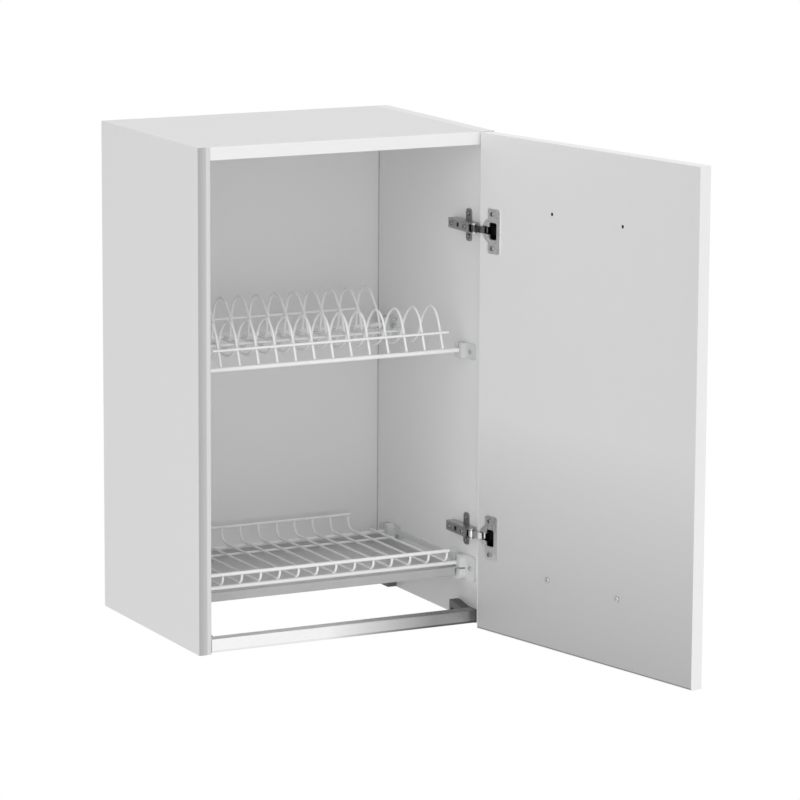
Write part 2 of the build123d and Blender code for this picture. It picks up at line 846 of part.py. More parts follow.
def divider_wire(points, radii):
    """A bent wire of the plate rack: lengths back from the front rail stretch with the rack's run."""
    y0, z0 = plate_front_y, plate_rack_height
    placed = [(y0 + back * stretch, z0 + up) for back, up in points]
    return bent_wire(placed, [r * min(stretch, 1) for r in radii])


def row(count, pitch):
    """Places of a row of like wires, centred on the cabinet."""
    return [(k - (count - 1) / 2) * pitch for k in range(count)]


def cross_rod(half, y, z, diameter):
    """A rod from side to side."""
    return rod((-half, y, z), (half, y, z), diameter / 2)


def stretched_lean(angle):
    """A lean back from upright, in radians, on the rack's real run."""
    return atan(tan(radians(angle)) * stretch)


def arch_foot():
    """How far above the front rail's axis the arches' front legs end."""
    return rail_wire_d / 2 + weld_gap + thin_wire_d / 2 * sin(stretched_lean(arch_lean))


def trough_floor():
    """How high a divider runs under the rear rail."""
    return -(rail_wire_d + thin_wire_d) / 2 - weld_gap


def plate_dividers():
    """Wires that stand the plates apart: a front arch, a dip, a crest and a rear trough in one bent wire."""
    foot = arch_foot()
    shoulder = arch_up * arch_shoulder_share
    points = [
        (0, foot), ((shoulder - foot) * tan(radians(arch_lean)), shoulder),
        (arch_crown_backs[0], arch_up), (arch_crown_backs[1], arch_up),
        (arch_neck_back, arch_up * arch_neck_share), (arch_knee_back, arch_up * arch_knee_share),
        (dip_backs[0], dip_up), (dip_backs[1], dip_up),
        (crest_backs[0], crest_up), (crest_backs[1], crest_up), (trough_back, trough_floor()),
        (usual_run + rail_wire_d / 2, trough_floor()),
    ]
    radii = [
        shoulder_bend, crown_bend, crown_bend, neck_bend, knee_bend, dip_bend,
        crest_bend, crest_bend, crest_bend, crest_bend,
    ]
    wire = divider_wire(points, radii)
    return [Pos(x, 0, 0) * wire for x in row(divider_count, divider_pitch)]


def rear_hoops():
    """Taller hoops at the rear of all but the end dividers, from the crests to the rear rail."""
    foot = crest_up + thin_wire_d / 2 + weld_gap + thin_wire_d / 2 * sin(stretched_lean(hoop_lean))
    last = (plate_rack_run - rail_wire_d / 2 - weld_gap) / stretch
    points = [
        (hoop_foot_back, foot),
        (hoop_foot_back + (hoop_shoulder_up - foot) * tan(radians(hoop_lean)), hoop_shoulder_up),
        (hoop_crown_backs[0], hoop_up), (hoop_crown_backs[1], hoop_up), (hoop_neck_back, hoop_neck_up),
        (hoop_heel_back, 0), (last, 0),
    ]
    wire = divider_wire(points, [hoop_shoulder_bend, *hoop_crown_bends, hoop_neck_bend, heel_bend])
    return [Pos(x, 0, 0) * wire for x in row(inner_count, divider_pitch)]


def rack_half_length():
    """Half the length of the rails that lie in the holders."""
    return inner_x - rail_end_gap


def across(count, pitch, overhang):
    """Half the length of a thin rod that lies across a row of wires."""
    return row(count, pitch)[-1] + overhang


def plate_rack_ties():
    """Thin cross ties: in front of the arches, under the crests and behind the hoops."""
    y0, z0 = plate_front_y, plate_rack_height
    side = thin_wire_d + weld_gap
    lean = stretched_lean(arch_lean)
    leg_y = (tie_up - arch_foot()) * tan(lean)
    front = (y0 + leg_y - side * cos(lean), z0 + tie_up + side * sin(lean))
    crest = (y0 + sum(crest_backs) / 2 * stretch, z0 + crest_up - side)
    slope = atan2(hoop_neck_up, (hoop_heel_back - hoop_neck_back) * stretch)
    leg_y = (hoop_neck_back + (hoop_heel_back - hoop_neck_back) * (1 - rear_tie_share)) * stretch
    rear = (y0 + leg_y + side * sin(slope), z0 + hoop_neck_up * rear_tie_share + side * cos(slope))
    long = across(divider_count, divider_pitch, tie_overhang)
    short = across(inner_count, divider_pitch, end_overhang)
    return {
        "plate_rack_front_tie": cross_rod(long, front[0], front[1], thin_wire_d),
        "plate_rack_middle_tie": cross_rod(long, crest[0], crest[1], thin_wire_d),
        "plate_rack_rear_tie": cross_rod(short, rear[0], rear[1], thin_wire_d),
    }


def glass_floor_wires():
    """Front-to-back wires with a hook up to the front lip; all but the end ones turn up at the rear too."""
    y0, z0 = glass_front_y, glass_rack_height
    floor = (rail_wire_d + thin_wire_d) / 2 + weld_gap
    hook = [(-lip_forward, lip_up - lip_wire_d / 2 - weld_gap), (-lip_forward, floor)]
    full = hook + [
        (glass_rack_run + rear_lip_behind, floor),
        (glass_rack_run + rear_lip_behind, rear_lip_up - thin_wire_d / 2 - weld_gap),
    ]
    short = hook + [(glass_rack_run + rail_wire_d, floor)]
    full_wire = bent_wire([(y0 + back, z0 + up) for back, up in full], [front_lip_bend, rear_lip_bend])
    short_wire = bent_wire([(y0 + back, z0 + up) for back, up in short], [front_lip_bend])
    places = row(divider_count, glass_pitch)
    inner = row(inner_count, glass_pitch)[-1] + glass_pitch / 2
    return [Pos(x, 0, 0) * (full_wire if abs(x) < inner else short_wire) for x in places]


def front_lip():
    """The thick lip wire over the front hooks, which runs on to the left until just short of the panel."""
    y = glass_front_y - lip_forward
    z = glass_rack_height + lip_up
    right = across(divider_count, glass_pitch, end_overhang)
    return rod((-inner_x + lip_wall_gap, y, z), (right, y, z), lip_wire_d / 2)


def glass_rack_ties():
    """Two thin ties under the glass rack's floor."""
    z = glass_rack_height + rail_wire_d / 2 - thin_wire_d / 2
    half = across(divider_count, glass_pitch, tie_overhang)
    return [cross_rod(half, glass_front_y + share * glass_rack_run, z, thin_wire_d) for share in glass_tie_shares]


def drip_tray():
    """A shallow tray with side flanges that run in the glass rack's holders."""
    y0 = front_y + tray_front_setback
    y1 = -tray_rear_setback
    z1 = tray_top()
    z0 = z1 - tray_h
    half = inner_x - glass_holder_w - tray_side_gap
    flange = inner_x - glass_holder_w + tray_flange_bite
    outer = block(-half, half, y0, y1, z0, z1)
    outer = fillet(outer.edges().filter_by(Axis.Z), tray_corner)
    outer = fillet(outer.edges().group_by(Axis.Z)[0], tray_wall)
    tray = outer + block(-flange, flange, y0, y1, z1 - tray_flange_t, z1)
    inner = block(-half + tray_wall, half - tray_wall, y0 + tray_wall, y1 - tray_wall, z0 + tray_wall, z1 + 1)
    inner = fillet(inner.edges().filter_by(Axis.Z), tray_corner - tray_wall)
    return tray - inner


def both_sides(solids):
    """A right-hand set of like pieces and its mirror image."""
    return list(solids) + [mirrored(s) for s in solids]


def carcass_pieces():
    """Everything that stays on the wall except racks and hinges."""
    right = side_panel()
    pieces = {
        "left_side_panel": mirrored(right),
        "right_side_panel": right_side_panel(),
        "top_panel": top_panel(),
        "back_panel": back_panel(),
        "left_edge_band": mirrored(edge_band_side()),
        "right_edge_band": edge_band_side(),
        "top_edge_band": edge_band_top(),
        "wood_dowels": both_sides(dowels()),
        "cam_bolts": both_sides(cam_bolts()),
        "cam_locks": both_sides(cam_locks()),
        "left_hanger_plate": mirrored(hanger_plate()),
        "right_hanger_plate": hanger_plate(),
        "hanger_screws": both_sides([place * hanger_screw() for place in hanger_screw_places()]),
        "front_rail": bottom_rail(rail_front_y()),
        "rear_rail": bottom_rail(rail_rear_y()),
        "rail_bracket_screws": both_sides([place * wood_screw() for place in bracket_screw_places()]),
        "holder_screws": both_sides([place * wood_screw() for place in holder_screw_places()]),
    }
    for name, y, way in (("front", rail_front_y(), 1), ("rear", rail_rear_y(), -1)):
        pieces[f"{name}_rail_bracket_right"] = rail_bracket(y, way)
        pieces[f"{name}_rail_bracket_left"] = mirrored(rail_bracket(y, way))
    for spot in ("front", "rear"):
        pieces[f"plate_rack_holder_{spot}_right"] = plate_rack_holder(spot)
        pieces[f"plate_rack_holder_{spot}_left"] = mirrored(plate_rack_holder(spot))
        pieces[f"glass_rack_holder_{spot}_right"] = glass_rack_holder(spot)
        pieces[f"glass_rack_holder_{spot}_left"] = mirrored(glass_rack_holder(spot))
    return pieces


def hinge_pieces():
    """The arms, plates, links and pins. The links stand as they do with the door open."""
    pieces = {
        "mounting_plate_screws": [place * wood_screw() for place in plate_screw_places()],
        "arm_screws": [place * wood_screw(arm_screw_length()) for place in arm_screw_places()],
        "arm_pins": [arm_pin_solid(z) for z in hinge_heights.values()],
    }
    for name, z in hinge_heights.items():
        pieces[f"hinge_arm_{name}"] = hinge_arm(z)
        pieces[f"hinge_link_{name}"] = hinge_link(z)
        pieces[f"mounting_plate_{name}"] = mounting_plate(z)
    return pieces


def door_pieces():
    """The door and what is fixed to it, turned to the open position."""
    closed = {
        "door_panel": [door_panel()],
        "door_edge_band": door_edge_band(),
        "handle": [handle()],
        "handle_screws": handle_screws(),
        "cup_screws": [place * wood_screw() for place in cup_screw_places()],
        "cup_pins": [cup_pin(z) for z in hinge_heights.values()],
    }
    for name, z in hinge_heights.items():
        closed[f"hinge_cup_{name}"] = [hinge_cup(z)]
    return {name: [door_place * solid for solid in solids] for name, solids in closed.items()}


def rack_pieces():
    """The two wire racks and the drip tray."""
    half = rack_half_length()
    rear_y = plate_front_y + plate_rack_run
    pieces = {
        "plate_rack_front_rail": cross_rod(half, plate_front_y, plate_rack_height, rail_wire_d),
        "plate_rack_rear_rail": cross_rod(half, rear_y, plate_rack_height, rail_wire_d),
        "plate_rack_dividers": plate_dividers(),
        "plate_rack_rear_hoops": rear_hoops(),
        "glass_rack_front_rail": cross_rod(half, glass_front_y, glass_rack_height, rail_wire_d),
        "glass_rack_rear_rail": cross_rod(half, glass_front_y + glass_rack_run, glass_rack_height, rail_wire_d),
        "glass_rack_front_lip": front_lip(),
        "glass_rack_rear_lip": cross_rod(
            across(inner_count, glass_pitch, end_overhang), glass_front_y + glass_rack_run + rear_lip_behind,
            glass_rack_height + rear_lip_up, thin_wire_d,
        ),
        "glass_rack_floor_wires": glass_floor_wires(),
        "glass_rack_ties": glass_rack_ties(),
        "drip_tray": drip_tray(),
    }
    pieces.update(plate_rack_ties())
    return pieces


def write_part(name, shape):
    """Move a piece to the frame of the hanging eyes and write it to parts/."""
    solids = [s for item in (shape if isinstance(shape, list) else [shape]) for s in item.solids()]
    moved = [Pos(0, 0, -eye_height) * s for s in solids]
    export_step(moved[0] if len(moved) == 1 else Compound(children=moved), f"parts/{name}.step")
    return len(moved)


os.makedirs("parts", exist_ok=True)
for pieces in (carcass_pieces(), hinge_pieces(), door_pieces(), rack_pieces()):
    for name, shape in pieces.items():
        write_part(name, shape)
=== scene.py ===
import math

import bmesh
import bpy
from bpy.props import FloatProperty, FloatVectorProperty, PointerProperty
from mathutils import Matrix, Vector


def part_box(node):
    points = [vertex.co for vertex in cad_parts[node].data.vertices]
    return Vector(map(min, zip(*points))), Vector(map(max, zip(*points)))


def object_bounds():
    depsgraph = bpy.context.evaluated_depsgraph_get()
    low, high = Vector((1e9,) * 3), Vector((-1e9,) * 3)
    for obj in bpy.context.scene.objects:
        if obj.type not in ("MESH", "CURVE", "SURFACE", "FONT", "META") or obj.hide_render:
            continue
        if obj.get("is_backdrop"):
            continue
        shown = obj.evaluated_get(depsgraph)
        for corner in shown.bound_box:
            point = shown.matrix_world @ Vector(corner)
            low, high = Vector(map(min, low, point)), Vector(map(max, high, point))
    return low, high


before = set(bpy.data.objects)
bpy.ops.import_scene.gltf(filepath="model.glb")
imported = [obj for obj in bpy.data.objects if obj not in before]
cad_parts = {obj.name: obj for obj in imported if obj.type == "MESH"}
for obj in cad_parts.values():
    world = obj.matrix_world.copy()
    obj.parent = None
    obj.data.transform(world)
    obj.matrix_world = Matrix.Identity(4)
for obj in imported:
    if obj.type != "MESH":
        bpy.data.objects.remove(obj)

bl_info = {
    "name": "Dish drainer cabinet",
    "version": (1, 0, 0),
    "blender": (4, 5, 0),
    "location": "View3D > Sidebar > Drainer",
    "description": "Finishes and studio for a wall-hung dish drainer cabinet",
    "category": "Object",
}

WHITE = (1, 1, 1)
RIGHTWARD = (1, 0, 0)
FORWARD = (0, -1, 0)
UPWARD = (0, 0, 1)

# How the noise behind lines and fibres is stretched: far along them, and not across them.
BRUSHED_ALONG_X = (0.012, 1, 1)
BRUSHED_ALONG_Y = (1, 0.02, 1)
DRAWN_ALONG_X = (0.01, 1, 1)
DRAWN_ALONG_Z = (1, 1, 0.01)
RUBBED_ALONG_Y = (1, 0.12, 1)
FELTED_ALONG_Z = (1, 1, 0.35)
GROWN_ALONG_X = (0.08, 1, 1)

# How deep the grain of a surface goes, in metres.
FINE_GRAIN = 0.0002
SOFT_GRAIN = 0.0003
COAT_GRAIN = 0.0004

# How far light spreads inside clear plastic, in metres, for red, green and blue.
PLASTIC_SPREAD = (0.006, 0.006, 0.006)

# How light a piece is, as a share of its finish's own colour: painted light and shade,
# in lighter or darker copies of a finish for the light each piece gets.
RIGHT_BOARD_PAINTED_LIGHT_SHARE = 1.11
REAR_RAIL_SHARE = 0.7
CAM_SHARE = 0.9
HINGE_ARM_SHARE = 0.7
MOUNTING_PLATE_SHARE = 0.52
UPPER_CUP_SHARE = 1.6
LOWER_CUP_SHARE = 1.2
UPPER_LINK_SHARE = 0.14
HINGE_SCREW_SHARE = 0.5

# How light a part of a piece is, as a share of the piece's own colour.
# Painted light and shade on the door's inner face, which dims outwards and downwards.
DOOR_NEAR_SHARE = 1.1
DOOR_FAR_SHARE = 0.84
DOOR_BOTTOM_SHARE = 0.6
# A thin dark line along the bottom edge of the door's inner face.
DOOR_BOTTOM_LINE_SHARE = 0.2
# Painted shade on the right side panel's inner face under the tray.
UNDER_TRAY_PAINTED_SHADE_SHARE = 0.7
# Painted shadow line on the back beside the side panels.
BACK_SHADOW_LINE_SHARE = 0.62
# Painted reflection and painted shadow on the front rail.
RAIL_RIGHT_END_REFLECTION_SHARE = 0.3
RAIL_LIP_SHADOW_SHARE = 0.05
# Painted light on the tray's floor behind its front wall.
TRAY_FLOOR_PAINTED_LIGHT_SHARE = 1.4
# Painted deep shade in the hinge cups' insides and on the plates' hidden ribs.
DEEP_SHADE_SHARE = 0.03
# Painted shade across the side panels' front strips: darker outside, lighter inwards.
STRIP_OUTER_SHARE = 0.92
STRIP_INNER_SHARE = 1.22
# The raw core inside the door's bores, darkened to near black with painted shade.
DOOR_BORE_CORE_AND_SHADE = (0.03, 0.027, 0.024)

# How strongly such a painted part shows, from nought to one.
# The rail's painted lip shadow gains strength rightwards.
DOOR_DIM_STRENGTH = 0.6
RAIL_LIP_SHADOW_LEFT_STRENGTH = 0.1
RAIL_LIP_SHADOW_GAIN = 0.8

# Heights in metres: where a shade is full, and where it starts.
DOOR_DIM_HEIGHTS = (-0.654, -0.34)
UNDER_TRAY_HEIGHTS = (-0.605, -0.575)

# Places in metres, forwards and to the right: where a shade starts, and where it is full.
DOOR_DIM_REACH = (0.345, 0.773)
RAIL_DIM_REACH = (-0.03, 0.14)

# Distances in metres from a piece's own face or edge, between which its colour changes.
SKIN_DEPTHS = (0.001, 0.002)
BORE_MOUTH_DEPTHS = (0.0004, 0.0009)
DOOR_OUTER_FACE_DEPTHS = (0.0170, 0.0176)
DOOR_BOTTOM_LINE_HEIGHTS = (0.0009, 0.0019)
BACK_SHADOW_LINE_WIDTHS = (-0.0022, -0.0008)
STRIP_BODY_WIDTH = 0.0065
STRIP_LIP_WIDTHS = (0.0066, 0.0058)
RAIL_LIP_HEIGHTS = (0.0026, 0.0040)
TRAY_WALL_DEPTHS = (-0.004, -0.002)
CUP_INSIDE_DEPTHS = (0.0002, 0.0014)
PLATE_RIB_WIDTH = 0.008
PLATE_RIB_EDGE = (-0.0005, 0.0005)

# The lamps: name, place and width in metres, and the stage setting that holds the power.
LAMPS = (
    ("left_lamp", (-3.6, -2.0, 0.8), 2.4, "left"),
    ("front_lamp", (-0.6, -4.6, 0.0), 1.8, "front"),
    ("low_lamp", (-0.4, -4.2, -1.0), 1.6, "low"),
    ("top_lamp", (0.4, -1.2, 3.0), 2.0, "top"),
)
LAMP_TARGET = (0, -0.2, -0.3)

FLOOR_TONE = (0.82, 0.82, 0.82)
FLOOR_HALF_WIDTH = 20

# The camera: angles in radians, its place in metres, its lens and sensor in millimetres.
CAMERA_YAW, CAMERA_PITCH, CAMERA_ROLL = 0.4703, 0.1867, 0.0054
CAMERA_PLACE = (-2.58893, -5.58128, 0.79493)
CAMERA_LENS = 194.64
CAMERA_SENSOR = 36
CAMERA_REACH = 100


def colour(label, note, default):
    """A colour setting."""
    return FloatVectorProperty(
        name=label, description=note, subtype="COLOR", size=3, min=0, max=1, default=default
    )


def grey(label, note, level):
    """A colour setting that starts as a grey."""
    return colour(label, note, (level, level, level))


def power(label, note, default):
    """A lamp's power setting, in watts."""
    return FloatProperty(name=label, description=note, unit="POWER", min=0, default=default)


class DrainerColours(bpy.types.PropertyGroup):
    """Colours of the cabinet's finishes."""

    board: grey("Board", "Melamine face of the side panels and the top", 0.8)
    door: grey("Door", "Melamine face of the door", 0.79)
    back: grey("Back", "Lacquered face of the thin back", 0.75)
    strip: grey("Edge strip", "Plastic strip on the edges of the top and the door", 0.9)
    # The side strips' two greys are painted shade, darkest on the outside.
    strip_outer_painted_shade: grey("Side strip, outer", "Grey outer part of the side panels' front strips", 0.45)
    strip_lip_painted_shade: grey("Side strip, inner", "Pale inner lip of the side panels' front strips", 0.7)
    wire: grey("Wire", "White coating of the two racks' wires", 0.93)
    tray: colour("Tray plastic", "Translucent plastic of the tray", (0.48, 0.48, 0.485))
    holder: colour("Holder plastic", "Translucent plastic of the rack holders", (0.72, 0.73, 0.73))
    bracket: colour(
        "Bracket plastic", "Dark plastic of the bottom rails' brackets", (0.09, 0.09, 0.095)
    )
    rail: colour("Rail", "Brushed aluminium of the bottom rails", (0.95, 0.95, 0.96))
    nickel: grey("Hinge plating", "Nickel plating of the hinges", 0.62)
    zinc: colour("Screw plating", "Zinc plating of screws and hanging plates", (0.6, 0.61, 0.62))
    handle: grey("Handle", "Satin steel of the bow handle", 0.6)
    beech: colour("Dowel", "Beech of the dowels", (0.62, 0.42, 0.24))


class DrainerStage(bpy.types.PropertyGroup):
    """Sizes and light levels of the studio."""

    floor_drop: FloatProperty(
        name="Floor drop", description="Height of the cabinet's bottom edge over the floor",
        unit="LENGTH", subtype="DISTANCE", min=0, default=1.3,
    )
    sky: FloatProperty(
        name="Sky level", description="Brightness of the soft light from all round",
        min=0, default=0.72,
    )
    left: power("Left power", "Power of the lamp on the left", 22)
    front: power("Front power", "Power of the lamp in front", 14)
    low: power("Low power", "Power of the low front lamp", 17)
    top: power("Top power", "Power of the lamp overhead", 8)


class Value:
    """A number that changes over a surface. Arithmetic on it adds Math nodes."""

    def __init__(self, nodes, socket):
        self.nodes = nodes
        self.socket = socket

    def _math(self, operation, *inputs):
        made = self.nodes.node("ShaderNodeMath", {"operation": operation}, dict(enumerate(inputs)))
        return Value(self.nodes, made.outputs[0])

    def __add__(self, other):
        return self._math("ADD", self, other)

    def __sub__(self, other):
        return self._math("SUBTRACT", self, other)

    def __rsub__(self, other):
        return self._math("SUBTRACT", other, self)

    def __mul__(self, other):
        return self._math("MULTIPLY", self, other)

    def __truediv__(self, other):
        return self._math("DIVIDE", self, other)

    def larger(self, other):
        """The larger of two values."""
        return self._math("MAXIMUM", self, other)

    def smaller(self, other):
        """The smaller of two values."""
        return self._math("MINIMUM", self, other)

    def size(self):
        """The value without its sign."""
        return self._math("ABSOLUTE", self)

    def ramp(self, low, high):
        """Nought at low, one at high, and straight between."""
        return ((self - low) / (high - low)).larger(0).smaller(1)


class Nodes:
    """The node tree of a material or a world."""

    def __init__(self, tree):
        self.tree = tree

    def node(self, kind, settings=None, feeds=None):
        """A node of a kind, with its settings first and then the values or links of its sockets."""
        made = self.tree.nodes.new(kind)
        for key, value in (settings or {}).items():
            setattr(made, key, value)
        for key, value in (feeds or {}).items():
            self.feed(made.inputs[key], value)
        return made

    def feed(self, socket, value):
        """Link a socket or set its constant."""
        if isinstance(value, Value):
            value = value.socket
        if isinstance(value, bpy.types.NodeSocket):
            self.tree.links.new(value, socket)
        elif socket.type == "RGBA" and len(value) == 3:
            socket.default_value = (*value, 1)
        else:
            socket.default_value = value

    def seen_directly(self):
        """One for what the eye sees straight, in a reflection or through glass, else nought."""
        path = self.node("ShaderNodeLightPath").outputs
        straight = Value(self, path["Is Camera Ray"]).larger(Value(self, path["Is Glossy Ray"]))
        return straight.larger(Value(self, path["Is Transmission Ray"]))

    def white_to_the_eye(self, kind, lit):
        """A shader that looks plain white, but lights the pieces as the lit shader does."""
        white = self.node(kind, {}, {"Color": WHITE, "Strength": 1.0}).outputs[0]
        feeds = {0: self.seen_directly(), 1: lit, 2: white}
        return self.node("ShaderNodeMixShader", {}, feeds).outputs[0]


class Paint(Nodes):
    """One material, built on a Principled shader."""

    def __init__(self, name):
        self.material = bpy.data.materials.new(name)
        self.material.use_nodes = True
        super().__init__(self.material.node_tree)
        self.shader = self.tree.nodes["Principled BSDF"]
        self.place = self.node("ShaderNodeTexCoord").outputs["Object"]

    def placed(self, operation, other):
        """Outputs of a vector operation on the surface's place."""
        feeds = {0: self.place, 1: tuple(other)}
        return self.node("ShaderNodeVectorMath", {"operation": operation}, feeds).outputs

    def noise(self, scale, detail=2.0, roughness=0.5, stretch=None):
        """A cloudy value from nought to one, with scale features to the metre."""
        feeds = {"Vector": self.placed("MULTIPLY", stretch)[0] if stretch else self.place}
        feeds.update({"Scale": scale, "Detail": detail, "Roughness": roughness})
        return Value(self, self.node("ShaderNodeTexNoise", {}, feeds).outputs[0])

    def specks(self, scale):
        """Distance to scattered points, for grain and pits."""
        feeds = {"Vector": self.place, "Scale": scale}
        return Value(self, self.node("ShaderNodeTexVoronoi", {}, feeds).outputs[0])

    def along(self, way):
        """How far the surface's place lies along a direction, in metres."""
        return Value(self, self.placed("DOT_PRODUCT", way)["Value"])

    def depth(self, face):
        """How deep the surface lies behind a flat face, given as its normal and its distance."""
        normal, distance = face
        return distance - self.along(normal)

    def mix(self, factor, first, second):
        """A colour between two colours."""
        made = self.node("ShaderNodeMix", {"data_type": "RGBA"}, {0: factor, 6: first, 7: second})
        return made.outputs[2]

    def bump(self, height, strength, distance):
        """A normal from a height value."""
        feeds = {"Height": height, "Strength": strength, "Distance": distance}
        return self.node("ShaderNodeBump", {}, feeds).outputs[0]

    def surface(self, **sockets):
        """Set the shader's sockets, named in lower case with underscores."""
        for key, value in sockets.items():
            self.feed(self.shader.inputs[key.replace("_", " ").title()], value)
        return self.material


def shade(tone, share):
    """A colour made darker or lighter by a share."""
    return tuple(min(1.0, part * share) for part in tone)


def offset(place, ends):
    """The two ends of a change, measured from a place."""
    return place + ends[0], place + ends[1]


def melamine(name, tone, peel=1.0, face=None, inner=None):
    """White laminated board: a fine orange peel, faint clouding and slight rubbing marks.

    The door gives its inner face, which gets painted light and shade. The right side panel
    gives the place of its own inner face, which gets painted shade under the tray.
    """
    paint = Paint(name)
    cloud = paint.noise(2.4, 3)
    rub = paint.noise(26, 5, 0.65)
    peel_height = paint.noise(950, 2) + paint.noise(2600, 1) * 0.4
    skin = paint.mix(cloud * 0.7 + rub * 0.3, shade(tone, 0.985), shade(tone, 1.012))
    # The door's inner face gets painted light and shade.
    if face:
        skin = door_painted_light_and_shade(paint, skin, tone, face)
    if inner:
        # Painted shade on the right side panel's inner face, under the tray.
        low = 1 - paint.along(UPWARD).ramp(*UNDER_TRAY_HEIGHTS)
        inside = 1 - paint.along(RIGHTWARD).ramp(*offset(inner, SKIN_DEPTHS))
        skin = paint.mix(low * inside, skin, shade(tone, UNDER_TRAY_PAINTED_SHADE_SHARE))
    return paint.surface(
        base_color=skin,
        roughness=rub * 0.12 + 0.34,
        normal=paint.bump(peel_height, 0.10 * peel, SOFT_GRAIN),
    )


def door_painted_light_and_shade(paint, skin, tone, face):
    """Painted light and shade on the door's inner face: it dims outwards and towards its bottom,
    with a thin dark line along its bottom edge. Painted shade darkens the raw core in its bores.
    """
    depth = paint.depth(face)
    on_face = 1 - depth.ramp(*SKIN_DEPTHS)
    low = 1 - paint.along(UPWARD).ramp(*DOOR_DIM_HEIGHTS)
    outward = paint.along(FORWARD).ramp(*DOOR_DIM_REACH)
    near = on_face * (1 - outward) * DOOR_DIM_STRENGTH
    skin = paint.mix(near, skin, shade(tone, DOOR_NEAR_SHARE))
    far = on_face * outward * DOOR_DIM_STRENGTH
    skin = paint.mix(far, skin, shade(tone, DOOR_FAR_SHARE))
    skin = paint.mix(on_face * low, skin, shade(tone, DOOR_BOTTOM_SHARE))
    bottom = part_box("door_panel")[0][2]
    dark_line = 1 - paint.along(UPWARD).ramp(*offset(bottom, DOOR_BOTTOM_LINE_HEIGHTS))
    skin = paint.mix(on_face * dark_line, skin, shade(tone, DOOR_BOTTOM_LINE_SHARE))
    # Painted shade darkens the raw core inside the bores.
    in_bore = depth.ramp(*BORE_MOUTH_DEPTHS) * (1 - depth.ramp(*DOOR_OUTER_FACE_DEPTHS))
    return paint.mix(in_bore, skin, DOOR_BORE_CORE_AND_SHADE)


def lacquered_back(name, tone, half_width):
    """Thin lacquered hardboard with a felt-like grain, and a shadow line beside the side panels."""
    paint = Paint(name)
    grain = paint.noise(700, 3, 0.6, FELTED_ALONG_Z)
    cloud = paint.noise(3.2, 2)
    face = paint.mix(cloud, shade(tone, 0.98), shade(tone, 1.01))
    # Painted shadow line on the back beside the side panels.
    dark_line = paint.along(RIGHTWARD).size().ramp(*offset(half_width, BACK_SHADOW_LINE_WIDTHS))
    return paint.surface(
        base_color=paint.mix(dark_line, face, shade(tone, BACK_SHADOW_LINE_SHARE)),
        roughness=grain * 0.15 + 0.42,
        normal=paint.bump(grain, 0.12, SOFT_GRAIN),
    )


def edge_strip(name, tone):
    """Plastic edge strip with faint lines along its length."""
    paint = Paint(name)
    upright = paint.noise(1500, stretch=DRAWN_ALONG_Z)
    lines = upright + paint.noise(1500, stretch=DRAWN_ALONG_X) * 0.5
    return paint.surface(
        base_color=paint.mix(paint.noise(30, 3), shade(tone, 0.99), shade(tone, 1.01)),
        roughness=lines * 0.08 + 0.2,
        normal=paint.bump(lines, 0.06, FINE_GRAIN),
        coat_weight=0.2,
    )


def side_strip(name, outer, inner, outside, inside):
    """Front strip of a side panel in painted shade: darkest outside, lighter inwards, with a pale
    lip on its inner edge.
    """
    paint = Paint(name)
    across = paint.along(RIGHTWARD).size()
    # Painted shade: darkest outside, lighter inwards, and paler at the inner lip.
    inward = across.ramp(outside, inside + STRIP_BODY_WIDTH)
    body = paint.mix(inward, shade(outer, STRIP_OUTER_SHARE), shade(outer, STRIP_INNER_SHARE))
    lip = across.ramp(*offset(inside, STRIP_LIP_WIDTHS))
    lines = paint.noise(1500, stretch=DRAWN_ALONG_Z)
    return paint.surface(
        base_color=paint.mix(lip, body, inner),
        roughness=lines * 0.08 + 0.24,
        normal=paint.bump(lip * 0.7 + lines * 0.3, 0.25, SOFT_GRAIN),
        coat_weight=0.15,
    )


def coated_wire(name, tone):
    """Wire under a white plastic coat: soft unevenness, thin spots and a faint wet gloss."""
    paint = Paint(name)
    flow = paint.noise(260, 3, 0.55)
    pits = paint.noise(1700, 2, 0.6)
    film = paint.noise(60, 4, 0.6)
    return paint.surface(
        base_color=paint.mix(film * 0.6 + flow * 0.4, shade(tone, 0.95), shade(tone, 1.02)),
        roughness=film * 0.14 + pits * 0.05 + 0.22,
        normal=paint.bump(flow * 0.8 + pits * 0.2, 0.16, COAT_GRAIN),
        coat_weight=0.25,
    )


def moulded_plastic(name, tone, rough, grain, clear=0.0, front=None):
    """Moulded plastic with a fine spark-eroded grain.

    The tray gives the place of its front wall; behind it, painted light makes it paler.
    """
    paint = Paint(name)
    pits = paint.specks(1100) + paint.noise(1900, 2) * 0.6
    body = paint.mix(paint.noise(14, 3), shade(tone, 0.94), shade(tone, 1.06))
    if front:
        # Painted light: paler behind the tray's front wall.
        behind = 1 - paint.along(FORWARD).ramp(*offset(front, TRAY_WALL_DEPTHS))
        body = paint.mix(behind, body, shade(tone, TRAY_FLOOR_PAINTED_LIGHT_SHARE))
    return paint.surface(
        base_color=body,
        roughness=paint.noise(300, 3) * 0.14 + rough,
        normal=paint.bump(pits, grain, SOFT_GRAIN),
        subsurface_weight=clear,
        subsurface_radius=PLASTIC_SPREAD,
    )


def brushed_metal(name, tone, stretch, rough, depth=0.12):
    """Metal with brush lines along one direction, which spread its reflections across them."""
    paint = Paint(name)
    lines = paint.noise(1800, 3, 0.7, stretch)
    smudge = paint.noise(24, 4, 0.6)
    return paint.surface(
        base_color=paint.mix(lines * 0.6 + smudge * 0.4, shade(tone, 0.86), shade(tone, 1.1)),
        metallic=1.0,
        roughness=lines * 0.16 + smudge * 0.08 + rough,
        normal=paint.bump(lines, depth, FINE_GRAIN),
    )


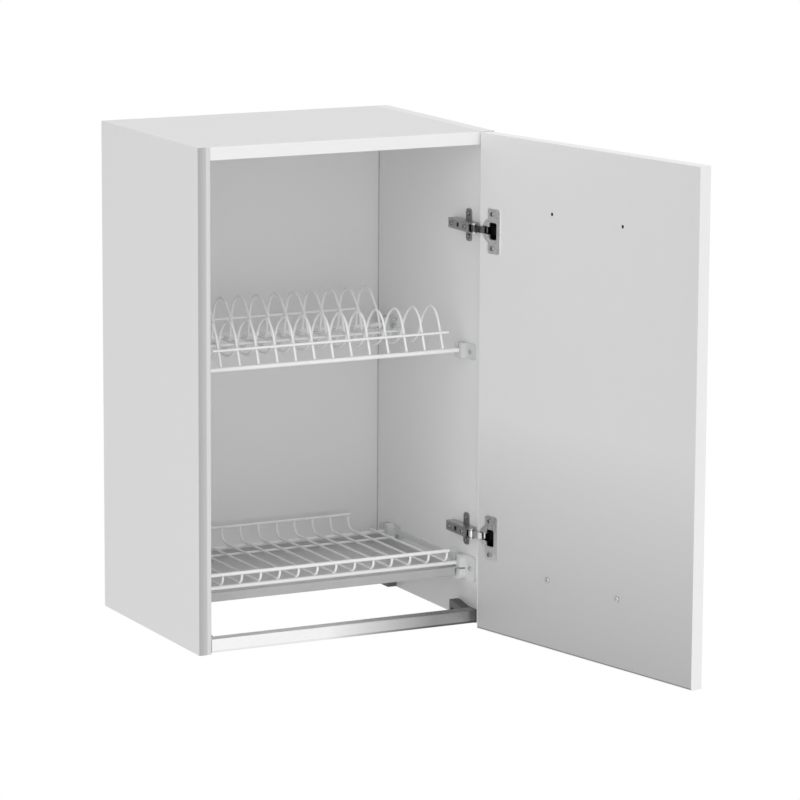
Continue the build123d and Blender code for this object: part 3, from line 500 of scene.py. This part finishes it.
def rail_with_painted_reflection(name, tone, low):
    """Brushed rail with a painted reflection, bright at its left end and dim at its right,
    and a painted shadow along its lower lip.
    """
    paint = Paint(name)
    lines = paint.noise(1800, 3, 0.7, BRUSHED_ALONG_X)
    smudge = paint.noise(24, 4, 0.6)
    # Painted reflection: bright at the left end, dim towards the right.
    rightward = paint.along(RIGHTWARD).ramp(*RAIL_DIM_REACH)
    # Painted shadow along the lower lip, stronger to the right.
    lip = 1 - paint.along(UPWARD).ramp(*offset(low, RAIL_LIP_HEIGHTS))
    face = paint.mix(rightward, tone, shade(tone, RAIL_RIGHT_END_REFLECTION_SHARE))
    lip_shadow_strength = lip * (rightward * RAIL_LIP_SHADOW_GAIN + RAIL_LIP_SHADOW_LEFT_STRENGTH)
    face = paint.mix(lip_shadow_strength, face, shade(tone, RAIL_LIP_SHADOW_SHARE))
    return paint.surface(
        base_color=paint.mix((lines * 0.6 + smudge * 0.4) * 0.16, face, shade(tone, 0.5)),
        metallic=1.0,
        roughness=lines * 0.16 + smudge * 0.08 + 0.12,
        normal=paint.bump(lines, 0.5, FINE_GRAIN),
    )


def hinge_cup(name, tone, face):
    """Pressed cup under a thin plating, whose inside lies in deep shade."""
    paint = Paint(name)
    cloud = paint.noise(180, 4, 0.6)
    inside = paint.depth(face).ramp(*CUP_INSIDE_DEPTHS)
    plating = paint.mix(cloud, shade(tone, 0.84), shade(tone, 1.1))
    return paint.surface(
        base_color=paint.mix(inside, plating, shade(tone, DEEP_SHADE_SHARE)),
        metallic=1.0,
        roughness=cloud * 0.14 + inside * 0.3 + 0.22,
        normal=paint.bump(cloud, 0.1, SOFT_GRAIN),
    )


def plated_steel(name, tone, rough, shaded=None):
    """Pressed or cut steel under a thin plating, with soft clouding and tiny handling marks.

    What lies left of the place shaded is hidden in another piece, and painted in deep shade.
    """
    paint = Paint(name)
    cloud = paint.noise(180, 4, 0.6)
    marks = paint.noise(900, 4, 0.7, RUBBED_ALONG_Y)
    plating = paint.mix(cloud * 0.7 + marks * 0.3, shade(tone, 0.84), shade(tone, 1.1))
    if shaded:
        hidden = 1 - paint.along(RIGHTWARD).ramp(*offset(shaded, PLATE_RIB_EDGE))
        plating = paint.mix(hidden, plating, shade(tone, DEEP_SHADE_SHARE))
    return paint.surface(
        base_color=plating,
        metallic=1.0,
        roughness=cloud * 0.14 + marks * 0.08 + rough,
        normal=paint.bump(marks, 0.08, FINE_GRAIN),
    )


def dowel_wood(name, tone):
    """Plain beech with short dark flecks along X."""
    paint = Paint(name)
    flecks = paint.noise(900, 3, 0.6, GROWN_ALONG_X)
    return paint.surface(
        base_color=paint.mix(flecks, shade(tone, 0.7), shade(tone, 1.1)),
        roughness=flecks * 0.1 + 0.55,
        normal=paint.bump(flecks, 0.2, SOFT_GRAIN),
    )


def finish(material, *names):
    """Give CAD nodes a material."""
    for name in names:
        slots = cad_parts[name].data.materials
        slots.clear()
        slots.append(material)


def nodes_like(*starts):
    """Names of the CAD nodes that begin with one of the given words."""
    return [name for name in sorted(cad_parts) if name.startswith(starts)]


def inner_face(name):
    """The plane of the open door's face towards the cabinet: its normal and its distance."""
    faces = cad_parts[name].data.polygons
    largest = max(faces, key=lambda face: face.area if face.normal.x < -0.5 else 0)
    return largest.normal.copy(), largest.normal.dot(largest.center)


class Builder(bpy.types.Operator):
    """What all steps share."""

    bl_options = {"REGISTER", "UNDO"}

    @property
    def tones(self):
        return bpy.context.scene.drainer_colours

    @property
    def studio(self):
        return bpy.context.scene.drainer_stage


class DRAINER_OT_boards(Builder):
    """Laminated side panels and top, and the lacquered back"""

    bl_idname = "drainer.boards"
    bl_label = "Boards and back"

    def execute(self, context):
        finish(melamine("board_white", self.tones.board), "left_side_panel", "top_panel")
        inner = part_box("right_side_panel")[0][0]
        # Painted light: the right side panel gets a lighter copy of the board colour.
        right_tone = shade(self.tones.board, RIGHT_BOARD_PAINTED_LIGHT_SHARE)
        right = melamine("right_board_white", right_tone, inner=inner)
        finish(right, "right_side_panel")
        finish(lacquered_back("back_white", self.tones.back, inner), "back_panel")
        return {"FINISHED"}


class DRAINER_OT_edge_strips(Builder):
    """Edge strips of the carcass and of the door"""

    bl_idname = "drainer.edge_strips"
    bl_label = "Edge strips"

    def execute(self, context):
        tones = self.tones
        finish(edge_strip("strip_white", tones.strip), "top_edge_band", "door_edge_band")
        low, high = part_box("right_edge_band")
        strip = side_strip("strip_grey", tones.strip_outer_painted_shade, tones.strip_lip_painted_shade, high[0], low[0])
        finish(strip, "left_edge_band", "right_edge_band")
        return {"FINISHED"}


class DRAINER_OT_joinery(Builder):
    """Dowels, cams and bolts in the top corners"""

    bl_idname = "drainer.joinery"
    bl_label = "Corner joints"

    def execute(self, context):
        finish(dowel_wood("dowel_beech", self.tones.beech), "wood_dowels")
        # Painted shade: the cams get a darker copy of the zinc.
        finish(plated_steel("cam_zinc", shade(self.tones.zinc, CAM_SHARE), rough=0.34), "cam_locks")
        finish(plated_steel("bolt_zinc", self.tones.zinc, rough=0.26), "cam_bolts")
        return {"FINISHED"}


class DRAINER_OT_hangers(Builder):
    """Plates that the cabinet hangs from"""

    bl_idname = "drainer.hangers"
    bl_label = "Hanging plates"

    def execute(self, context):
        zinc = plated_steel("hanger_zinc", self.tones.zinc, rough=0.3)
        finish(zinc, "left_hanger_plate", "right_hanger_plate")
        return {"FINISHED"}


class DRAINER_OT_bottom_rails(Builder):
    """Brushed bottom rails and their dark end brackets"""

    bl_idname = "drainer.bottom_rails"
    bl_label = "Bottom rails"

    def execute(self, context):
        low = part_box("front_rail")[0][2]
        finish(rail_with_painted_reflection("front_rail_aluminium", self.tones.rail, low), "front_rail")
        # Painted shade: the rear rail gets a darker copy of the rail colour.
        rear_tone = shade(self.tones.rail, REAR_RAIL_SHARE)
        rear = brushed_metal(
            "rear_rail_aluminium", rear_tone, BRUSHED_ALONG_X, rough=0.16, depth=0.4
        )
        finish(rear, "rear_rail")
        dark = moulded_plastic("bracket_dark", self.tones.bracket, rough=0.42, grain=0.2)
        finish(dark, *nodes_like("front_rail_bracket", "rear_rail_bracket"))
        return {"FINISHED"}


class DRAINER_OT_hinges(Builder):
    """Concealed hinges: arms, plates, links, cups and pins"""

    bl_idname = "drainer.hinges"
    bl_label = "Hinges"

    def execute(self, context):
        nickel = self.tones.nickel
        # Painted light and shade: lighter and darker copies of the nickel, piece by piece.
        arm = plated_steel("arm_nickel", shade(nickel, HINGE_ARM_SHARE), rough=0.2)
        finish(arm, *nodes_like("hinge_arm"))
        plates = ("mounting_plate_upper", "mounting_plate_lower")
        # Painted deep shade on the plates' rib, where it hides inside the arms.
        rib_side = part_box(plates[0])[0][0] + PLATE_RIB_WIDTH
        plate_tone = shade(nickel, MOUNTING_PLATE_SHARE)
        finish(plated_steel("plate_nickel", plate_tone, rough=0.24, shaded=rib_side), *plates)
        face = inner_face("door_panel")
        # Painted light: the upper cup is lighter than the lower.
        upper_cup = hinge_cup("upper_cup_nickel", shade(nickel, UPPER_CUP_SHARE), face)
        lower_cup = hinge_cup("lower_cup_nickel", shade(nickel, LOWER_CUP_SHARE), face)
        finish(upper_cup, "hinge_cup_upper")
        finish(lower_cup, "hinge_cup_lower")
        upper_link_tone = shade(nickel, UPPER_LINK_SHARE)
        finish(plated_steel("upper_link_nickel", upper_link_tone, rough=0.26), "hinge_link_upper")
        finish(plated_steel("lower_link_nickel", nickel, rough=0.26), "hinge_link_lower")
        finish(plated_steel("pin_steel", nickel, rough=0.16), "arm_pins", "cup_pins")
        return {"FINISHED"}


class DRAINER_OT_door(Builder):
    """Laminated door board"""

    bl_idname = "drainer.door"
    bl_label = "Door"

    def execute(self, context):
        face = inner_face("door_panel")
        finish(melamine("door_white", self.tones.door, peel=0.8, face=face), "door_panel")
        return {"FINISHED"}


class DRAINER_OT_handle(Builder):
    """Bow handle on the outer face"""

    bl_idname = "drainer.handle"
    bl_label = "Handle"

    def execute(self, context):
        satin = brushed_metal("handle_satin", self.tones.handle, BRUSHED_ALONG_Y, rough=0.22)
        finish(satin, "handle")
        return {"FINISHED"}


class DRAINER_OT_screws(Builder):
    """Cross-head screws"""

    bl_idname = "drainer.screws"
    bl_label = "Screws"

    def execute(self, context):
        zinc = plated_steel("screw_zinc", self.tones.zinc, rough=0.24)
        finish(zinc, "hanger_screws", "rail_bracket_screws", "holder_screws", "handle_screws")
        # Painted shade: a darker copy of the nickel for the hinge screws.
        nickel_tone = shade(self.tones.nickel, HINGE_SCREW_SHARE)
        nickel = plated_steel("screw_nickel", nickel_tone, rough=0.2)
        finish(nickel, "mounting_plate_screws", "arm_screws", "cup_screws")
        return {"FINISHED"}


class DRAINER_OT_plate_rack(Builder):
    """Upper wire rack"""

    bl_idname = "drainer.plate_rack"
    bl_label = "Plate rack"

    def execute(self, context):
        wires = nodes_like(
            "plate_rack_dividers", "plate_rack_front", "plate_rack_middle", "plate_rack_rear"
        )
        finish(coated_wire("plate_rack_wire", self.tones.wire), *wires)
        return {"FINISHED"}


class DRAINER_OT_glass_rack(Builder):
    """Lower wire rack"""

    bl_idname = "drainer.glass_rack"
    bl_label = "Glass rack"

    def execute(self, context):
        wires = nodes_like(
            "glass_rack_floor", "glass_rack_front", "glass_rack_rear", "glass_rack_ties"
        )
        finish(coated_wire("glass_rack_wire", self.tones.wire), *wires)
        return {"FINISHED"}


class DRAINER_OT_holders(Builder):
    """Plastic holders of both racks"""

    bl_idname = "drainer.holders"
    bl_label = "Rack holders"

    def execute(self, context):
        tone = self.tones.holder
        plastic = moulded_plastic("holder_plastic", tone, rough=0.3, grain=0.08, clear=0.4)
        finish(plastic, *nodes_like("plate_rack_holder", "glass_rack_holder"))
        return {"FINISHED"}


class DRAINER_OT_tray(Builder):
    """Drip tray"""

    bl_idname = "drainer.tray"
    bl_label = "Drip tray"

    def execute(self, context):
        front = -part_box("drip_tray")[0][1]
        plastic = moulded_plastic(
            "tray_plastic", self.tones.tray, rough=0.26, grain=0.06, clear=0.3, front=front
        )
        finish(plastic, "drip_tray")
        return {"FINISHED"}


class DRAINER_OT_studio(Builder):
    """Pale floor, soft light and the camera"""

    bl_idname = "drainer.studio"
    bl_label = "Studio"

    def execute(self, context):
        scene = context.scene
        scene.view_settings.view_transform = "Standard"
        self.light_world(scene)
        self.lay_floor(scene)
        for name, place, size, setting in LAMPS:
            self.hang_lamp(scene, name, place, size, getattr(self.studio, setting))
        self.aim_camera(scene)
        return {"FINISHED"}

    def light_world(self, scene):
        """A soft light from all round, behind a plain white background."""
        world = bpy.data.worlds.new("studio_world")
        world.use_nodes = True
        scene.world = world
        nodes = Nodes(world.node_tree)
        nodes.tree.nodes.clear()
        feeds = {"Color": WHITE, "Strength": self.studio.sky}
        soft = nodes.node("ShaderNodeBackground", {}, feeds).outputs[0]
        blend = nodes.white_to_the_eye("ShaderNodeBackground", soft)
        nodes.node("ShaderNodeOutputWorld", {}, {0: blend})

    def hang_lamp(self, scene, name, place, size, watts):
        """A square soft lamp that looks at the cabinet."""
        data = bpy.data.lights.new(name, "AREA")
        data.shape = "SQUARE"
        data.size = size
        data.energy = watts
        made = bpy.data.objects.new(name, data)
        made.location = place
        aim = Vector(LAMP_TARGET) - Vector(place)
        made.rotation_euler = aim.to_track_quat("-Z", "Y").to_euler()
        scene.collection.objects.link(made)

    def lay_floor(self, scene):
        """A matt floor that looks plain white, under the wall cabinet."""
        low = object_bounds()[0][2]
        mesh = bpy.data.meshes.new("studio_floor")
        shape = bmesh.new()
        bmesh.ops.create_grid(shape, x_segments=2, y_segments=2, size=FLOOR_HALF_WIDTH)
        shape.to_mesh(mesh)
        shape.free()
        floor = bpy.data.objects.new("studio_floor", mesh)
        floor.location = (0, 0, low - self.studio.floor_drop)
        scene.collection.objects.link(floor)
        paint = Paint("studio_floor")
        paint.surface(base_color=FLOOR_TONE, roughness=0.9)
        blend = paint.white_to_the_eye("ShaderNodeEmission", paint.shader.outputs[0])
        paint.feed(paint.tree.nodes["Material Output"].inputs[0], blend)
        mesh.materials.append(paint.material)
        floor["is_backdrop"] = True

    def aim_camera(self, scene):
        """A camera with the photograph's view."""
        yaw, pitch, roll = CAMERA_YAW, CAMERA_PITCH, CAMERA_ROLL
        flat = math.cos(pitch)
        ahead = Vector((math.sin(yaw) * flat, math.cos(yaw) * flat, -math.sin(pitch)))
        level = Vector((math.cos(yaw), -math.sin(yaw), 0))
        upright = level.cross(ahead)
        right = level * math.cos(roll) + upright * math.sin(roll)
        up = upright * math.cos(roll) - level * math.sin(roll)
        data = bpy.data.cameras.new("camera")
        data.sensor_width = CAMERA_SENSOR
        data.lens = CAMERA_LENS
        data.clip_end = CAMERA_REACH
        camera = bpy.data.objects.new("camera", data)
        turn = Matrix((right, up, -ahead)).transposed().to_4x4()
        camera.matrix_world = Matrix.Translation(CAMERA_PLACE) @ turn
        scene.collection.objects.link(camera)
        scene.camera = camera


STEPS = (
    DRAINER_OT_boards,
    DRAINER_OT_edge_strips,
    DRAINER_OT_joinery,
    DRAINER_OT_hangers,
    DRAINER_OT_bottom_rails,
    DRAINER_OT_hinges,
    DRAINER_OT_door,
    DRAINER_OT_handle,
    DRAINER_OT_screws,
    DRAINER_OT_plate_rack,
    DRAINER_OT_glass_rack,
    DRAINER_OT_holders,
    DRAINER_OT_tray,
    DRAINER_OT_studio,
)


class DRAINER_PT_panel(bpy.types.Panel):
    """The steps and their settings in the sidebar."""

    bl_idname = "DRAINER_PT_panel"
    bl_label = "Dish drainer cabinet"
    bl_space_type = "VIEW_3D"
    bl_region_type = "UI"
    bl_category = "Drainer"

    def draw(self, context):
        for step in STEPS:
            self.layout.operator(step.bl_idname)
        for group in (context.scene.drainer_colours, context.scene.drainer_stage):
            for key in group.__annotations__:
                self.layout.prop(group, key)


CLASSES = (DrainerColours, DrainerStage, *STEPS, DRAINER_PT_panel)


def register():
    for item in CLASSES:
        bpy.utils.register_class(item)
    bpy.types.Scene.drainer_colours = PointerProperty(type=DrainerColours)
    bpy.types.Scene.drainer_stage = PointerProperty(type=DrainerStage)


def unregister():
    del bpy.types.Scene.drainer_stage
    del bpy.types.Scene.drainer_colours
    for item in reversed(CLASSES):
        bpy.utils.unregister_class(item)


def main():
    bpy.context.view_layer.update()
    register()
    for step in STEPS:
        group, name = step.bl_idname.split(".")
        getattr(getattr(bpy.ops, group), name)()


if __name__ == "__main__":
    main()
